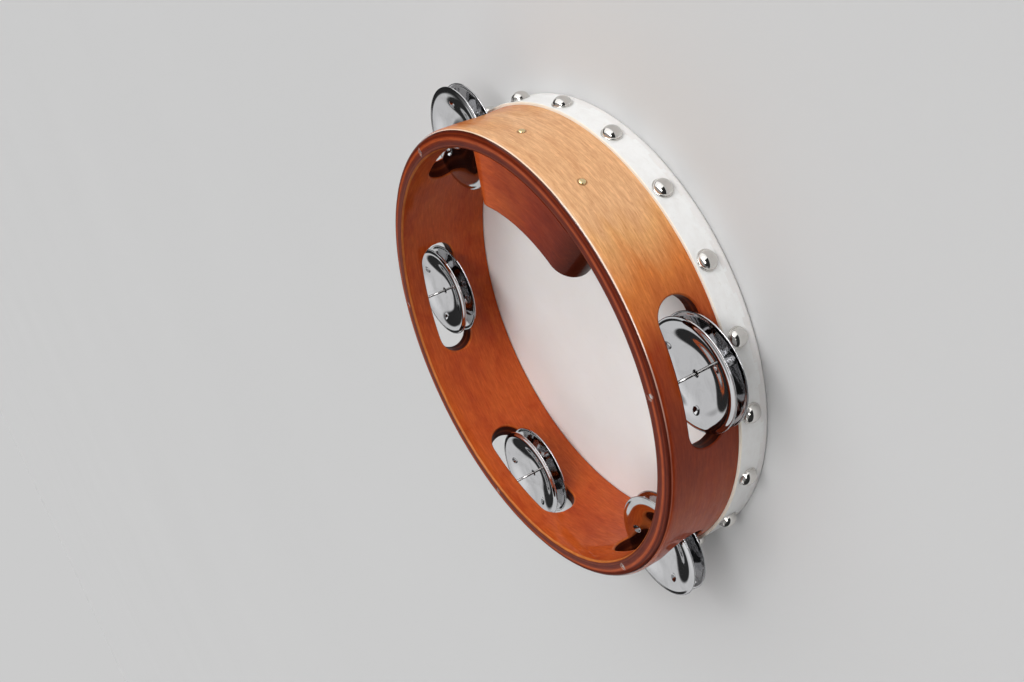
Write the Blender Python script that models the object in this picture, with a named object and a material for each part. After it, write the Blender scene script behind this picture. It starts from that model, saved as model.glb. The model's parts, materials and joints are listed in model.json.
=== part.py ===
"""A hand tambourine: a bent wood hoop with a stretched head, five pairs of jingle discs and a grip block.

The drum lies on its head. The origin is the centre of the head's outer face, +Z points along the drum's axis
to the open rim, and the hand's place, between the two outermost jingles, is at -Y. Metres throughout.
"""
import math

import bmesh
import bpy
from mathutils import Matrix, Vector

MM = 0.001

# Driving dimensions of the drum.
HOOP_RADIUS = 75.0 * MM
HOOP_WALL = 5.9 * MM
DRUM_HEIGHT = 35.0 * MM
RIM_OUTER_ROUND = 2.6 * MM
RIM_INNER_ROUND = 0.8 * MM
RIM_OUTER_STEPS = 3
RIM_INNER_STEPS = 2
GAP = 0.3 * MM
HOOP_SEGMENTS = 96

# The head and the band that holds its edge.
HEAD_THICKNESS = 0.5 * MM
HEAD_RADIUS = 76.0 * MM
HEAD_EDGE_STEPS = 2
BAND_THICKNESS = 0.7 * MM
BAND_TOP = 10.5 * MM

# Jingle slots, pins and discs. The pins stand a little to one side of their slots' middles.
JINGLE_PAIRS = 5
JINGLE_PITCH = math.radians(63.4)
JINGLE_MIDDLE_ANGLE = math.radians(90.0)
PIN_SLOT_OFFSET = math.radians(-0.8)
SLOT_LENGTH = 43.0 * MM
SLOT_WIDTH = 12.8 * MM
SLOT_CENTRE_HEIGHT = 21.0 * MM
PIN_CIRCLE_RADIUS = 71.6 * MM
PIN_RADIUS = 0.45 * MM
PIN_HEAD_RADIUS = 0.8 * MM
PIN_HEAD_LENGTH = 0.8 * MM
PIN_EDGE = 0.15 * MM
PIN_TOP_RECESS = 0.3 * MM
PIN_LENGTH = 25.0 * MM
PIN_SEGMENTS = 12
DISC_RADIUS = 16.9 * MM
DISC_HOLE_RADIUS = 1.15 * MM
DISC_THICKNESS = 0.5 * MM
DISC_FLANGE_WIDTH = 1.6 * MM
DISC_HUB_RADIUS = 5.2 * MM
DISC_DOME_HEIGHT = 1.9 * MM
DISC_DOME_STEPS = 4
LOWER_DISC_BASE = 16.1 * MM
DISC_PAIR_HEIGHT = 5.15 * MM
DISC_SEGMENTS = 24

# Tacks round the band.
TACK_COUNT = 21
TACK_FIRST_ANGLE = math.radians(-88.5)
TACK_HEIGHT = 6.6 * MM
TACK_HEAD_RADIUS = 3.3 * MM
TACK_BRIM_WIDTH = 0.3 * MM
TACK_BRIM_HEIGHT = 0.3 * MM
TACK_DOME = 2.1 * MM
TACK_DOME_DEGREES = (60.0, 25.0)
TACK_SHANK_RADIUS = 0.6 * MM
TACK_SHANK_LENGTH = 4.4 * MM
TACK_SEGMENTS = 10

# The grip block and its nails.
GRIP_ANGLE = math.radians(-86.3)
GRIP_INNER_RADIUS = 52.5 * MM
GRIP_HALF_LENGTH = 22.4 * MM
GRIP_THICKNESS = 13.4 * MM
NAIL_OFFSET = math.radians(10.6)
NAIL_HEIGHT = 25.0 * MM
NAIL_HEAD_RADIUS = 1.1 * MM
NAIL_HEAD_HEIGHT = 0.5 * MM
NAIL_CROWN = 0.25 * MM
NAIL_SHANK_RADIUS = 0.6 * MM
NAIL_SHANK_LENGTH = 13.0 * MM
NAIL_SEGMENTS = 12

HOOP_INNER_RADIUS = HOOP_RADIUS - HOOP_WALL
HOOP_BASE = HEAD_THICKNESS + GAP
HOLE_SEGMENTS = 8
CUT_MARGIN = 4.0 * MM


def clear_scene():
    """Empty the scene without closing the file."""
    for obj in list(bpy.data.objects):
        bpy.data.objects.remove(obj, do_unlink=True)


def make_material(name, colour, roughness, metallic=0.0):
    """A Principled BSDF with one colour."""
    material = bpy.data.materials.new(name)
    material.use_nodes = True
    shader = material.node_tree.nodes["Principled BSDF"]
    shader.inputs["Base Color"].default_value = (*colour, 1.0)
    shader.inputs["Roughness"].default_value = roughness
    shader.inputs["Metallic"].default_value = metallic
    material.diffuse_color = (*colour, 1.0)
    return material


def add_object(name, mesh, material=None):
    """Link a new object that shows the mesh."""
    obj = bpy.data.objects.new(name, mesh)
    bpy.context.scene.collection.objects.link(obj)
    if material and not mesh.materials:
        mesh.materials.append(material)
    return obj


def polar(radius, angle, height=0.0):
    """A point at a radius and an angle about the drum's axis."""
    return Vector((radius * math.cos(angle), radius * math.sin(angle), height))


def add_turned(bm, frame, profile, segments):
    """Add a closed loop of (radius, height) points turned about the frame's Z.

    The loop runs down its outer side. A point on the axis becomes one vertex.
    """
    rings = []
    for radius, height in profile:
        count = segments if radius > 0.0 else 1
        ring = [bm.verts.new(frame @ polar(radius, 2 * math.pi * i / segments, height)) for i in range(count)]
        rings.append(ring)
    for ring, after in zip(rings, rings[1:] + rings[:1]):
        for i in range(segments):
            j = (i + 1) % segments
            corners = [ring[i % len(ring)], after[i % len(after)], after[j % len(after)], ring[j % len(ring)]]
            distinct = list(dict.fromkeys(corners))
            if len(distinct) > 2:
                bm.faces.new(distinct)


def turned_mesh(name, profile, segments):
    """A mesh turned about Z from a closed loop of (radius, height) points."""
    bm = bmesh.new()
    add_turned(bm, Matrix.Identity(4), profile, segments)
    bm.normal_update()
    mesh = bpy.data.meshes.new(name)
    bm.to_mesh(mesh)
    bm.free()
    finish_mesh(mesh)
    return mesh


def finish_mesh(mesh, sharp_degrees=35.0):
    """Smooth shading with sharp edges kept."""
    mesh.shade_smooth()
    mesh.set_sharp_from_angle(angle=math.radians(sharp_degrees))


def arc(centre_radius, centre_height, radius, start_degrees, end_degrees, steps):
    """Points of an arc in the (radius, height) plane."""
    points = []
    for i in range(steps + 1):
        angle = math.radians(start_degrees + (end_degrees - start_degrees) * i / steps)
        points.append((centre_radius + radius * math.cos(angle), centre_height + radius * math.sin(angle)))
    return points


def outward_frame(angle, radius, height):
    """A matrix whose Z points outward from the drum's axis at an angle, and whose X runs round the hoop."""
    outward = polar(1.0, angle)
    up = Vector((0.0, 0.0, 1.0))
    around = up.cross(outward)
    frame = Matrix((around, up, outward)).transposed().to_4x4()
    frame.translation = polar(radius, angle, height)
    return frame


def slot_angles():
    """The slots' angles, spread evenly either side of the one opposite the hand."""
    middle = (JINGLE_PAIRS - 1) / 2
    return [JINGLE_MIDDLE_ANGLE + (i - middle) * JINGLE_PITCH for i in range(JINGLE_PAIRS)]


def pin_angles():
    """The pins' angles, one in each slot."""
    return [angle + PIN_SLOT_OFFSET for angle in slot_angles()]


def tack_angles():
    """The tacks' angles, evenly round the whole band."""
    return [TACK_FIRST_ANGLE + 2 * math.pi * i / TACK_COUNT for i in range(TACK_COUNT)]


def nail_angles():
    """The grip nails' angles, either side of the block's middle."""
    return [GRIP_ANGLE - NAIL_OFFSET, GRIP_ANGLE + NAIL_OFFSET]


def add_cylinder(bm, frame, radius, low, high, segments):
    """Add a closed cylinder along the frame's Z between two heights."""
    placed = frame @ Matrix.Translation((0.0, 0.0, (low + high) / 2))
    bmesh.ops.create_cone(
        bm, cap_ends=True, segments=segments, radius1=radius, radius2=radius, depth=high - low, matrix=placed
    )


def add_stadium(bm, frame, length, width, depth, arc_steps=12):
    """Add a closed prism with a stadium outline in the frame's XY plane, centred on it."""
    end_radius = width / 2
    straight = length / 2 - end_radius
    outline = []
    for side in (1, -1):
        for i in range(arc_steps + 1):
            angle = math.radians(-90.0 + 180.0 * i / arc_steps)
            x = side * (straight + end_radius * math.cos(angle))
            y = side * end_radius * math.sin(angle)
            outline.append((x, y))
    low = [bm.verts.new(frame @ Vector((x, y, -depth / 2))) for x, y in outline]
    high = [bm.verts.new(frame @ Vector((x, y, depth / 2))) for x, y in outline]
    bm.faces.new(list(reversed(low)))
    bm.faces.new(high)
    for i in range(len(outline)):
        j = (i + 1) % len(outline)
        bm.faces.new((low[i], low[j], high[j], high[i]))


def add_cutter(name, bm):
    """A hidden wire object that Booleans use."""
    mesh = bpy.data.meshes.new(name)
    bm.to_mesh(mesh)
    bm.free()
    cutter = add_object(name, mesh)
    cutter.hide_render = True
    cutter.display_type = "WIRE"
    return cutter


def cut(obj, cutter):
    """Cut one object with another."""
    modifier = obj.modifiers.new("cut_" + cutter.name, "BOOLEAN")
    modifier.operation = "DIFFERENCE"
    modifier.object = cutter


def hoop_profile():
    """The hoop's section: a plain foot under the head's side and a rounded open rim."""
    outer = (HOOP_RADIUS - RIM_OUTER_ROUND, DRUM_HEIGHT - RIM_OUTER_ROUND, RIM_OUTER_ROUND)
    inner = (HOOP_INNER_RADIUS + RIM_INNER_ROUND, DRUM_HEIGHT - RIM_INNER_ROUND, RIM_INNER_ROUND)
    foot = [(HOOP_RADIUS, HOOP_BASE), (HOOP_INNER_RADIUS, HOOP_BASE)]
    return arc(*outer, 90, 0, RIM_OUTER_STEPS) + foot + arc(*inner, 180, 90, RIM_INNER_STEPS)


def slot_cutter():
    """One stadium prism through the wall at each jingle."""
    bm = bmesh.new()
    middle = (HOOP_RADIUS + HOOP_INNER_RADIUS) / 2
    for angle in slot_angles():
        frame = outward_frame(angle, middle, SLOT_CENTRE_HEIGHT)
        add_stadium(bm, frame, SLOT_LENGTH, SLOT_WIDTH, HOOP_WALL + 2 * CUT_MARGIN)
    return add_cutter("slot_cutter", bm)


def fastener_hole_cutter():
    """The blind holes of all pins, tacks and nails, none of which meet."""
    bm = bmesh.new()
    pin_top = DRUM_HEIGHT - PIN_TOP_RECESS
    pin_hole = [
        (0.0, DRUM_HEIGHT + CUT_MARGIN),
        (PIN_HEAD_RADIUS + GAP, DRUM_HEIGHT + CUT_MARGIN),
        (PIN_HEAD_RADIUS + GAP, pin_top - PIN_HEAD_LENGTH - GAP),
        (PIN_RADIUS + GAP, pin_top - PIN_HEAD_LENGTH - GAP),
        (PIN_RADIUS + GAP, pin_top - PIN_LENGTH - GAP),
        (0.0, pin_top - PIN_LENGTH - GAP),
    ]
    for angle in pin_angles():
        add_turned(bm, Matrix.Translation(polar(PIN_CIRCLE_RADIUS, angle)), pin_hole, HOLE_SEGMENTS)
    for angle in tack_angles():
        frame = outward_frame(angle, HEAD_RADIUS + GAP, TACK_HEIGHT)
        add_cylinder(bm, frame, TACK_SHANK_RADIUS + GAP, -TACK_SHANK_LENGTH - GAP, CUT_MARGIN, HOLE_SEGMENTS)
    for angle in nail_angles():
        frame = outward_frame(angle, HOOP_RADIUS + GAP, NAIL_HEIGHT)
        add_cylinder(bm, frame, NAIL_SHANK_RADIUS + GAP, -NAIL_SHANK_LENGTH - GAP, CUT_MARGIN, HOLE_SEGMENTS)
    return add_cutter("fastener_hole_cutter", bm)


def build_hoop(cutters, material):
    """The bent wood ring."""
    hoop = add_object("hoop", turned_mesh("hoop", hoop_profile(), HOOP_SEGMENTS), material)
    for cutter in cutters:
        cut(hoop, cutter)
    return hoop


def build_head(material):
    """The stretched membrane, a flat disc with a softened edge."""
    half = HEAD_THICKNESS / 2
    edge = arc(HEAD_RADIUS - half, half, half, 90, -90, HEAD_EDGE_STEPS)
    profile = [(0.0, HEAD_THICKNESS)] + edge + [(0.0, 0.0)]
    return add_object("head", turned_mesh("head", profile, HOOP_SEGMENTS), material)


def build_band(cutter, material):
    """The strip round the hoop that holds the head's edge."""
    inner = HEAD_RADIUS - BAND_THICKNESS
    profile = [(HEAD_RADIUS, BAND_TOP), (HEAD_RADIUS, HOOP_BASE), (inner, HOOP_BASE), (inner, BAND_TOP)]
    band = add_object("head_band", turned_mesh("head_band", profile, HOOP_SEGMENTS), material)
    cut(band, cutter)
    return band


def disc_rise(radius):
    """The dome's height at a radius: flat over the hub, then a parabola down to the flange."""
    flange = DISC_RADIUS - DISC_FLANGE_WIDTH
    share = (radius - DISC_HUB_RADIUS) / (flange - DISC_HUB_RADIUS)
    return DISC_DOME_HEIGHT * (1.0 - max(share, 0.0) ** 2)


def disc_mesh():
    """A stamped jingle disc: a flat flange, a dome that rises to +Z, and a centre hole."""
    flange = DISC_RADIUS - DISC_FLANGE_WIDTH
    dome_width = flange - DISC_HUB_RADIUS
    radii = [DISC_HOLE_RADIUS]
    radii += [DISC_HUB_RADIUS + dome_width * i / DISC_DOME_STEPS for i in range(DISC_DOME_STEPS)]
    under = [(radius, disc_rise(radius)) for radius in radii] + [(flange, 0.0), (DISC_RADIUS, 0.0)]
    top = [(radius, height + DISC_THICKNESS) for radius, height in reversed(under)]
    return turned_mesh("jingle_disc", list(reversed(under + top)), DISC_SEGMENTS)


def pin_mesh():
    """A thin steel nail that the discs turn on: the head's top is the origin, and the shank runs down -Z."""
    profile = [
        (0.0, 0.0),
        (PIN_HEAD_RADIUS - PIN_EDGE, 0.0),
        (PIN_HEAD_RADIUS, -PIN_EDGE),
        (PIN_HEAD_RADIUS, -PIN_HEAD_LENGTH),
        (PIN_RADIUS, -PIN_HEAD_LENGTH),
        (PIN_RADIUS, -PIN_LENGTH + PIN_EDGE),
        (PIN_RADIUS - PIN_EDGE, -PIN_LENGTH),
        (0.0, -PIN_LENGTH),
    ]
    return turned_mesh("jingle_pin", profile, PIN_SEGMENTS)


def tack_mesh():
    """A dome-headed tack: the head's underside is the origin, and the shank runs down -Z."""
    dome_radius = TACK_HEAD_RADIUS - TACK_BRIM_WIDTH
    dome_rise = TACK_DOME - TACK_BRIM_HEIGHT
    dome = []
    for angle in map(math.radians, TACK_DOME_DEGREES):
        dome.append((dome_radius * math.cos(angle), TACK_BRIM_HEIGHT + dome_rise * math.sin(angle)))
    brim = [(TACK_HEAD_RADIUS, TACK_BRIM_HEIGHT), (TACK_HEAD_RADIUS, 0.0)]
    shank = [(TACK_SHANK_RADIUS, 0.0), (TACK_SHANK_RADIUS, -TACK_SHANK_LENGTH), (0.0, -TACK_SHANK_LENGTH)]
    return turned_mesh("tack", [(0.0, TACK_DOME)] + dome + brim + shank, TACK_SEGMENTS)


def nail_mesh():
    """A small round-headed nail: the head's underside is the origin, and the shank runs down -Z."""
    profile = [
        (0.0, NAIL_HEAD_HEIGHT),
        (NAIL_HEAD_RADIUS - NAIL_CROWN, NAIL_HEAD_HEIGHT),
        (NAIL_HEAD_RADIUS, NAIL_HEAD_HEIGHT - NAIL_CROWN),
        (NAIL_HEAD_RADIUS, 0.0),
        (NAIL_SHANK_RADIUS, 0.0),
        (NAIL_SHANK_RADIUS, -NAIL_SHANK_LENGTH),
        (0.0, -NAIL_SHANK_LENGTH),
    ]
    return turned_mesh("grip_nail", profile, NAIL_SEGMENTS)


def grip_stations(steps=24):
    """Distances along the block and its half height there: half round at both ends."""
    end_radius = GRIP_THICKNESS / 2
    straight = GRIP_HALF_LENGTH - end_radius
    arc_steps = steps // 3
    stations = []
    for angle in quarter_angles(arc_steps):
        stations.append((-straight - end_radius * math.cos(angle), end_radius * math.sin(angle)))
    for i in range(1, steps - arc_steps):
        stations.append((-straight + 2 * straight * i / (steps - arc_steps), end_radius))
    ends = [(-s, half) for s, half in reversed(stations[: arc_steps + 1])]
    return stations + ends


def quarter_angles(steps):
    """Angles from 0 to a right angle."""
    return [math.radians(90.0 * i / steps) for i in range(steps + 1)]


def build_grip(cutter, material):
    """The grip block: a thick arc inside the hoop, half round at both ends."""
    outer_radius = HOOP_INNER_RADIUS - GAP
    inner_radius = GRIP_INNER_RADIUS
    middle_height = DRUM_HEIGHT - GRIP_THICKNESS / 2
    bm = bmesh.new()
    sections = []
    for along, half in grip_stations():
        angle = GRIP_ANGLE + along / inner_radius
        if half == 0.0:
            outer = bm.verts.new(polar(outer_radius, angle, middle_height))
            inner = bm.verts.new(polar(inner_radius, angle, middle_height))
            sections.append([outer, outer, inner, inner])
            continue
        corners = [(outer_radius, half), (outer_radius, -half), (inner_radius, -half), (inner_radius, half)]
        sections.append([bm.verts.new(polar(r, angle, middle_height + h)) for r, h in corners])
    for section, after in zip(sections, sections[1:]):
        for i in range(len(section)):
            j = (i + 1) % len(section)
            distinct = list(dict.fromkeys([section[i], section[j], after[j], after[i]]))
            if len(distinct) > 2:
                bm.faces.new(distinct)
    bmesh.ops.recalc_face_normals(bm, faces=bm.faces)
    mesh = bpy.data.meshes.new("grip_block")
    bm.to_mesh(mesh)
    bm.free()
    finish_mesh(mesh)
    grip = add_object("grip_block", mesh, material)
    cut(grip, cutter)
    return grip


def place_fasteners(prefix, mesh, frames, material):
    """One object for each frame, all sharing a mesh."""
    for number, frame in enumerate(frames, start=1):
        obj = add_object(f"{prefix}_{number:02d}", mesh, material)
        obj.matrix_world = frame


def build_jingles(steel, chrome):
    """A pin and two facing discs at each slot, on an empty at the pin's top."""
    pin = pin_mesh()
    disc = disc_mesh()
    lower_height = LOWER_DISC_BASE - DRUM_HEIGHT
    upper_height = lower_height + DISC_PAIR_HEIGHT
    for number, angle in enumerate(pin_angles(), start=1):
        axis = bpy.data.objects.new(f"jingle_{number}_axis", None)
        bpy.context.scene.collection.objects.link(axis)
        axis.location = polar(PIN_CIRCLE_RADIUS, angle, DRUM_HEIGHT)
        pin_object = add_object(f"jingle_{number}_pin", pin, steel)
        pin_object.parent = axis
        pin_object.location.z = -PIN_TOP_RECESS
        lower = add_object(f"jingle_{number}_lower_disc", disc, chrome)
        lower.parent = axis
        lower.location.z = lower_height
        upper = add_object(f"jingle_{number}_upper_disc", disc, chrome)
        upper.parent = axis
        upper.location.z = upper_height
        upper.rotation_euler.x = math.pi


def main():
    clear_scene()
    wood = make_material("lacquered_wood", (0.56, 0.17, 0.04), 0.22)
    skin = make_material("white_skin", (0.9, 0.9, 0.88), 0.45)
    band_white = make_material("white_band", (0.92, 0.92, 0.91), 0.35)
    nickel = make_material("nickel", (0.72, 0.71, 0.69), 0.12, 1.0)
    chrome = make_material("chrome", (0.78, 0.78, 0.79), 0.08, 1.0)
    steel = make_material("pin_steel", (0.6, 0.6, 0.6), 0.25, 1.0)
    brass = make_material("brass", (0.8, 0.62, 0.28), 0.25, 1.0)

    fastener_holes = fastener_hole_cutter()
    build_hoop([slot_cutter(), fastener_holes], wood)
    build_grip(fastener_holes, wood)
    build_head(skin)
    build_band(fastener_holes, band_white)
    tack_frames = [outward_frame(a, HEAD_RADIUS + GAP, TACK_HEIGHT) for a in tack_angles()]
    place_fasteners("tack", tack_mesh(), tack_frames, nickel)
    nail_frames = [outward_frame(a, HOOP_RADIUS + GAP, NAIL_HEIGHT) for a in nail_angles()]
    place_fasteners("grip_nail", nail_mesh(), nail_frames, brass)
    build_jingles(steel, chrome)


main()
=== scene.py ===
"""The looks of the hand tambourine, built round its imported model.

Places and main sizes are read from the frame. Fine pieces are built in metres in the row frame and ride on
its bodies: a lacquered ply hoop with routed slots, its grip block, the head and its band, domed tacks, dished
jingles with three pressed dimples each, and the nails. Colours are linear.
"""
import json
from math import atan2, cos, exp, hypot, pi, radians, remainder, sin, sqrt, tau

import bmesh
import bpy
from mathutils import Matrix, Vector

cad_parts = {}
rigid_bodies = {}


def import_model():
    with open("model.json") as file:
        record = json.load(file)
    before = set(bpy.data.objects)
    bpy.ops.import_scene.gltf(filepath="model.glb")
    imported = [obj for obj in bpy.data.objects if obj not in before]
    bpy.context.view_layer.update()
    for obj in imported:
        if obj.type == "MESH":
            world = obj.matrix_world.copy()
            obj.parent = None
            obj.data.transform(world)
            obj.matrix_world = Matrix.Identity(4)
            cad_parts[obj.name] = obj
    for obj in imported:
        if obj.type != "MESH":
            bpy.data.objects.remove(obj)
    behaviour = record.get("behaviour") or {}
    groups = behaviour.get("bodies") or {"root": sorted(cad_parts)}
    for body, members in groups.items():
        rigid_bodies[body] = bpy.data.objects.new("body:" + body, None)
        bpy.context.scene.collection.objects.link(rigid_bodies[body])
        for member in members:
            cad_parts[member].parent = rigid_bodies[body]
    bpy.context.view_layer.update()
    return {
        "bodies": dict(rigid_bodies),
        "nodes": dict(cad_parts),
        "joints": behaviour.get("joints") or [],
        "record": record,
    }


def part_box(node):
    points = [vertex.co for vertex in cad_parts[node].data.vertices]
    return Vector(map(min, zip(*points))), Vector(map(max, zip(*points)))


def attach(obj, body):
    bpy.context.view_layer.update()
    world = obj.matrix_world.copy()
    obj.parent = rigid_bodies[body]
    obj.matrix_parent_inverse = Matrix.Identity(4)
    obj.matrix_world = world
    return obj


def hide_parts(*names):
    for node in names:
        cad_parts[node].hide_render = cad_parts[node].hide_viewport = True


MM = 0.001
UP = Vector((0.0, 0.0, 1.0))

# The camera, seen from the drum: degrees, and metres from the point it looks at.
CAMERA_AZIMUTH = -36.23
CAMERA_ELEVATION = 24.96
CAMERA_ROLL = -114.45
CAMERA_DISTANCE = 349.0 * MM
CAMERA_AIM = Vector((8.16, 1.01, 29.62)) * MM
CAMERA_LENS = 38.21
CAMERA_SENSOR = 36.0
CAMERA_CLIP = (0.01, 100.0)

# The surroundings, by direction, with azimuths from +X towards +Y.
# A faint glow all round and a soft patch overhead: azimuth, elevation, cosines where it starts and is full,
# radiance.
SOFT_PATCHES = (
    (0.0, 90.0, -1.0, -0.99, 0.04),
    (0.0, 90.0, 0.6, 0.95, 0.43),
)
# Softboxes: azimuth, elevation, half width, half height and edge as tangents, radiance.
SOFTBOXES = (
    (-62.0, 20.0, 0.95, 0.6, 0.15, 1.55),
    (-105.0, 50.0, 0.62, 0.08, 0.04, 10.5),
    (78.0, 44.0, 0.6, 0.36, 0.08, 0.95),
)
# What the camera sees behind the drum; then the key light's azimuth and elevation.
BACKDROP = 0.597
KEY_FROM = (-80.0, 38.0)
KEY_ENERGY = 0.2
KEY_SPREAD = radians(45.0)
FLOOR_SIZE = 30.0
FLOOR_DROP = 0.05 * MM

# The hoop's edges, slots and plies.
RIM_OUTER_ROUND = 2.6 * MM
RIM_INNER_ROUND = 0.8 * MM
FOOT_ROUND = 0.3 * MM
# How far up the rounded outer edge the face veneer reaches, in degrees of its arc.
VENEER_END = 41.0
SLOT_LENGTH = 43.0 * MM
SLOT_WIDTH = 12.8 * MM
SLOT_CENTRE_HEIGHT = 21.0 * MM
SLOT_EDGE_ROUND = 0.55 * MM
SLOT_PATCH_HALF = radians(18.2)
SLOT_PATCH_MARGIN = 2.0 * MM
PATCH_LENGTH_STEPS = 56
PATCH_HEIGHT_STEPS = 18
PIN_SLOT_OFFSET = radians(-0.8)
PIN_HOLE_MARGIN = 0.1 * MM
PIN_HOLE_DEPTH = 1.1 * MM
SHARP_ANGLE = radians(38.0)

# The hoop's inner face is this far outside the CAD block's back, and the fine block sinks this far into it.
GRIP_GAP = 0.3 * MM
GRIP_SINK = 0.3 * MM
GRIP_EDGE_ROUND = 0.9 * MM

# Face values of the "cut" attribute: face veneer is 0, then a slot's rounded edge, the rim and a slot's wall.
CUT_SLOT_EDGE = 0.35
CUT_RIM = 1.0
CUT_SLOT_WALL = 2.0

# The wood's figure, from its dark bands to its light ones.
FIGURE_COLOURS = ((0.25, (0.4, 0.055, 0.008)), (0.5, (0.47, 0.077, 0.012)), (0.75, (0.55, 0.11, 0.018)))
# Tints that multiply the wood's colour, each with its strength.
HEAVY_STAIN = ((0.72, 0.5, 0.4), 0.45)
THIN_STAIN = ((1.15, 1.4, 1.4), 0.4)
BROAD_TINT = ((0.82, 0.66, 0.52), 0.3)
STREAK_TINT = ((0.66, 0.5, 0.38), 0.5)
FLECK_TINT = ((0.6, 0.42, 0.3), 0.35)
FIBRE_TINT = ((1.4, 1.35, 1.3), 0.35)
PLY_STREAK_TINT = ((0.55, 0.45, 0.4), 0.6)
# The outer veneer's painted sheen on its lit side, with the paleness at which each colour starts and is full.
PAINTED_SHEEN_ANGLE = radians(-88.0)
PAINTED_SHEEN_HALF = radians(18.0)
PAINTED_SHEEN_FADE = radians(30.0)
PAINTED_SHEEN_COLOURS = (
    (0.0, 0.45, (0.63, 0.195, 0.043)),
    (0.45, 0.8, (0.74, 0.38, 0.15)),
    (0.8, 1.0, (0.77, 0.44, 0.225)),
)
# Painted shade on the outer veneer's side away from the light.
PAINTED_SHADE_ANGLE = radians(-157.0)
PAINTED_SHADE_CORE = 0.1
PAINTED_SHADE_HALF = radians(34.0)
PAINTED_SHADE_SHARE = 0.85
PAINTED_SHADE_COLOUR = (0.17, 0.02, 0.005)
# A painted highlight line on the rim's outer corner, strongest near the painted sheen, and marks round the
# fasteners: where each starts to fade, where it ends, its share and its colour.
PAINTED_EDGE_HIGHLIGHT = (0.05 * MM, 0.15 * MM, 0.62, (0.95, 0.82, 0.68))
EDGE_HIGHLIGHT_OFFSET = 0.12 * MM
EDGE_HIGHLIGHT_NEAR = radians(38.0)
EDGE_HIGHLIGHT_FAR = radians(72.0)
NAIL_RING = (1.1 * MM, 1.6 * MM, 0.8, (0.1, 0.03, 0.01))
PIN_BRUISE = (0.8 * MM, 1.3 * MM, 0.65, (0.42, 0.33, 0.29))
PIN_BRUISE_UNEVEN = 0.4 * MM
SLOT_WALL_COLOUR = (0.015, 0.003, 0.002)
SLOT_WALL_SHARE = 0.75
# The lacquer: its weight on the hoop and the block, less this much where the wood is cut.
HOOP_COAT = 0.4
BLOCK_COAT = 0.2
CUT_COAT_LOSS = 0.19
COAT_ROUGHNESS = 0.045
COAT_IOR = 1.45
WOOD_SPECULAR = 0.05
# The plies' edge colours from the hoop's inner face (0) to its outer face (1); the first two are a painted
# highlight.
PLY_AND_INNER_HIGHLIGHT_COLOURS = (
    (0.0, (0.6, 0.2, 0.05)),
    (0.04, (0.5, 0.14, 0.03)),
    (0.08, (0.14, 0.02, 0.006)),
    (0.14, (0.13, 0.017, 0.005)),
    (0.18, (0.2, 0.035, 0.01)),
    (0.22, (0.11, 0.013, 0.004)),
    (0.36, (0.14, 0.017, 0.005)),
    (0.44, (0.2, 0.03, 0.008)),
    (0.5, (0.42, 0.08, 0.018)),
    (0.58, (0.36, 0.06, 0.014)),
    (0.64, (0.16, 0.02, 0.005)),
    (0.72, (0.1, 0.012, 0.003)),
    (0.76, (0.17, 0.025, 0.006)),
    (0.82, (0.11, 0.013, 0.004)),
    (0.88, (0.07, 0.008, 0.002)),
)
# The painted shadow on the grip block, from its darkest end towards its middle, and the angles between which
# it changes.
GRIP_SHADOW_START = radians(-115.0)
GRIP_SHADOW_END = radians(-70.0)
GRIP_SHADOW_FACTORS = (
    (0.02, (0.03, 0.03, 0.04)),
    (0.15, (0.18, 0.13, 0.16)),
    (0.3, (0.36, 0.24, 0.3)),
    (0.5, (0.5, 0.34, 0.4)),
    (0.8, (0.75, 0.72, 0.75)),
    (1.0, (1.0, 1.0, 1.0)),
)

# The head's film and its marks, and the band's cloth.
FILM_COLOURS = ((0.3, (0.78, 0.755, 0.735)), (0.7, (0.82, 0.8, 0.785)))
SCUFF_COLOUR = (0.55, 0.51, 0.47)
FILM_DEPTH = (0.9 * MM, 0.7 * MM, 0.5 * MM)
CLOTH_COLOURS = ((0.28, (0.8, 0.79, 0.775)), (0.6, (0.85, 0.85, 0.84)))
SPECK_COLOUR = (0.62, 0.58, 0.5)
CREAM_COLOUR = (0.82, 0.72, 0.55)
CREAM_START = 10.05 * MM
CREAM_FULL = 10.45 * MM

# Each metal: colour, dull colour, lowest and highest roughness, scale of smudges, strength of scratches.
METALS = {
    "nickel_plate": ((0.74, 0.72, 0.69), (0.5, 0.48, 0.45), 0.04, 0.13, 300.0, 0.2),
    "brass_nail": ((0.92, 0.74, 0.42), (0.5, 0.34, 0.13), 0.16, 0.34, 700.0, 0.3),
    "chrome_plate": ((0.57, 0.57, 0.58), (0.4, 0.4, 0.405), 0.035, 0.11, 120.0, 0.15),
    "drawn_steel": ((0.62, 0.61, 0.6), (0.35, 0.33, 0.31), 0.14, 0.3, 500.0, 0.3),
}

# Discs, in their own frame: the dome rises to +Z from the flange's underside, and the mesh's rings lie closer
# together within DISC_FOLD of where the two meet.
DISC_THICKNESS = 0.5 * MM
DISC_FLANGE_WIDTH = 1.6 * MM
DISC_HUB_RADIUS = 5.2 * MM
DISC_HOLE_RADIUS = 1.15 * MM
DISC_HOLE_ROUND = 0.1 * MM
DISC_DOME_HEIGHT = 1.9 * MM
DISC_FOLD = 0.45 * MM
DISC_FULLNESS = 1.25
DISC_CURL = 0.3 * MM
DIMPLE_CIRCLE = 11.0 * MM
DIMPLE_RADIUS = 1.4 * MM
DIMPLE_DEPTH = 0.68 * MM
DIMPLE_COUNT = 3
# Each disc stopped at its own turn about the pin, in radians.
LOWER_TURNS = (0.4, 1.3, 2.5, 0.9, 0.15)
UPPER_TURNS = (1.1, 0.2, 1.75, 1.71, 0.12)


# ---- mesh helpers


def polar(radius, angle, height=0.0):
    """A point at a radius and an angle about the drum's axis."""
    return Vector((radius * cos(angle), radius * sin(angle), height))


def spread(start, end, steps):
    """Evenly spaced values from start to end, both included."""
    return [start + (end - start) * i / steps for i in range(steps + 1)]


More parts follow.
